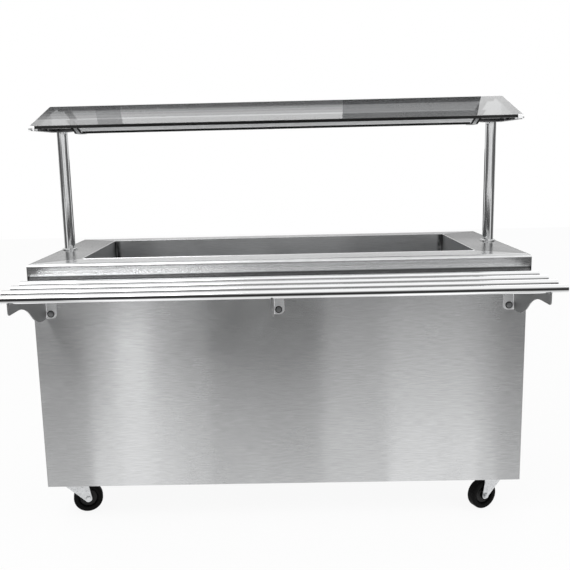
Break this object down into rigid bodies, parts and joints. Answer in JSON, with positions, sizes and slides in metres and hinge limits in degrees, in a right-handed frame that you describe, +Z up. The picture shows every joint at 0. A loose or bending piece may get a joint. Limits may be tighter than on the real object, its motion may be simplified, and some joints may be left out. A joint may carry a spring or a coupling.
{
  "type": "steam table unit",
  "caption": "Mobile stainless steam table: open heated water well, tubular tray slide on curved brackets, slanted glass guard with lamp on round posts, sliding doors behind, swivel casters.",
  "frame": {"origin": "on the floor, under the middle of the counter top", "axes": "+X along the counter to the customer's right, +Y from the customer side to the operator side, +Z up"},
  "size_m": [1.626, 1.0104, 1.4258],
  "materials": {
    "brushed_steel": "brushed along the length",
    "polished_steel": "finely polished",
    "zinc_plate": "bright zinc plate",
    "black_plastic": "satin",
    "black_rubber": "matte",
    "brass": "machined",
    "red_paint": "dipped",
    "amber_lens": "clear",
    "mineral_wool": "fibrous",
    "smoked_glass": "polished",
    "lamp_steel": "bright",
    "lamp_glass": "frosted"
  },
  "bodies": {
    "cabinet": {"counter_top": "polished_steel", "water_well": "brushed_steel", "well_insulation": "mineral_wool", "heating_elements": "zinc_plate", "heater_box": "zinc_plate", "thermostat_bulb": "zinc_plate", "drain_pipe": "brushed_steel", "drain_valve": "brass", "control_fascia": "brushed_steel", "thermostat": "zinc_plate", "switch_frames": "black_plastic", "pilot_lamp": "amber_lens", "power_gland": "black_plastic", "front_panel": "brushed_steel", "end_panel_left": "brushed_steel", "end_panel_right": "brushed_steel", "base_frame": "zinc_plate", "bottom_deck": "brushed_steel", "door_tracks": "zinc_plate", "rail_1": "polished_steel", "rail_2": "polished_steel", "rail_3": "polished_steel", "rail_4": "polished_steel", "bracket_left": "brushed_steel", "bracket_centre": "brushed_steel", "bracket_right": "brushed_steel", "bracket_bolts": "zinc_plate", "post_left": "polished_steel", "post_right": "polished_steel", "post_feet": "polished_steel", "guard_arm_left": "brushed_steel", "guard_arm_right": "brushed_steel", "guard_rear_rail": "brushed_steel", "guard_glass": "smoked_glass", "lamp_housing": "lamp_steel", "lamp_straps": "brushed_steel", "lamp_holders": "black_plastic", "lamp_tube": "lamp_glass", "caster_plates": "zinc_plate"},
    "door_left": {"door_left": "brushed_steel"},
    "door_right": {"door_right": "brushed_steel"},
    "knob": {"thermostat_knob": "black_plastic"},
    "heat_rocker": {"heat_rocker": "black_plastic"},
    "light_rocker": {"light_rocker": "black_plastic"},
    "drain_lever": {"drain_lever": "red_paint"},
    "caster_front_left": {"fork_front_left": "zinc_plate", "axle_front_left": "zinc_plate"},
    "wheel_front_left": {"wheel_front_left": "black_rubber"},
    "caster_front_right": {"fork_front_right": "zinc_plate", "axle_front_right": "zinc_plate"},
    "wheel_front_right": {"wheel_front_right": "black_rubber"},
    "caster_rear_left": {"fork_rear_left": "zinc_plate", "axle_rear_left": "zinc_plate"},
    "wheel_rear_left": {"wheel_rear_left": "black_rubber"},
    "caster_rear_right": {"fork_rear_right": "zinc_plate", "axle_rear_right": "zinc_plate"},
    "wheel_rear_right": {"wheel_rear_right": "black_rubber"},
    "brake_rear_left": {"brake_rear_left": "zinc_plate"},
    "brake_rear_right": {"brake_rear_right": "zinc_plate"}
  },
  "joints": [
    {"name": "door_left_slide", "type": "slide", "parent": "cabinet", "child": "door_left", "axis": [1, 0, 0], "range_m": [0, 0.75]},
    {"name": "door_right_slide", "type": "slide", "parent": "cabinet", "child": "door_right", "axis": [-1, 0, 0], "range_m": [0, 0.75]},
    {"name": "knob_turn", "type": "hinge", "parent": "cabinet", "child": "knob", "pos_m": [0.568, 0.33, 0.804], "axis": [0, -1, 0], "range_deg": [0, 270]},
    {"name": "heat_rocker_tilt", "type": "hinge", "parent": "cabinet", "child": "heat_rocker", "pos_m": [0.628, 0.328, 0.804], "axis": [1, 0, 0], "range_deg": [0, 20]},
    {"name": "light_rocker_tilt", "type": "hinge", "parent": "cabinet", "child": "light_rocker", "pos_m": [0.688, 0.328, 0.804], "axis": [1, 0, 0], "range_deg": [0, 20]},
    {"name": "drain_lever_turn", "type": "hinge", "parent": "cabinet", "child": "drain_lever", "pos_m": [-0.538, 0.13, 0.6148], "axis": [0, 1, 0], "range_deg": [0, 90]},
    {"name": "swivel_front_left", "type": "hinge", "parent": "cabinet", "child": "caster_front_left", "pos_m": [-0.73, -0.209, 0.1337], "axis": [0, 0, 1], "continuous": true},
    {"name": "roll_front_left", "type": "hinge", "parent": "caster_front_left", "child": "wheel_front_left", "pos_m": [-0.69619, -0.19994, 0.0508], "axis": [-0.2588, 0.9659, 0], "continuous": true},
    {"name": "swivel_front_right", "type": "hinge", "parent": "cabinet", "child": "caster_front_right", "pos_m": [0.73, -0.209, 0.1337], "axis": [0, 0, 1], "continuous": true},
    {"name": "roll_front_right", "type": "hinge", "parent": "caster_front_right", "child": "wheel_front_right", "pos_m": [0.69828, -0.22379, 0.0508], "axis": [0.4226, -0.9063, 0], "continuous": true},
    {"name": "swivel_rear_left", "type": "hinge", "parent": "cabinet", "child": "caster_rear_left", "pos_m": [-0.73, 0.25, 0.1337], "axis": [0, 0, 1], "continuous": true},
    {"name": "roll_rear_left", "type": "hinge", "parent": "caster_rear_left", "child": "wheel_rear_left", "pos_m": [-0.73, 0.285, 0.0508], "axis": [-1, 0, 0], "continuous": true},
    {"name": "brake_rear_left", "type": "hinge", "parent": "caster_rear_left", "child": "brake_rear_left", "pos_m": [-0.73, 0.297, 0.1247], "axis": [-1, 0, 0], "range_deg": [0, 15]},
    {"name": "swivel_rear_right", "type": "hinge", "parent": "cabinet", "child": "caster_rear_right", "pos_m": [0.73, 0.25, 0.1337], "axis": [0, 0, 1], "continuous": true},
    {"name": "roll_rear_right", "type": "hinge", "parent": "caster_rear_right", "child": "wheel_rear_right", "pos_m": [0.73, 0.285, 0.0508], "axis": [-1, 0, 0], "continuous": true},
    {"name": "brake_rear_right", "type": "hinge", "parent": "caster_rear_right", "child": "brake_rear_right", "pos_m": [0.73, 0.297, 0.1247], "axis": [-1, 0, 0], "range_deg": [0, 15]}
  ]
}
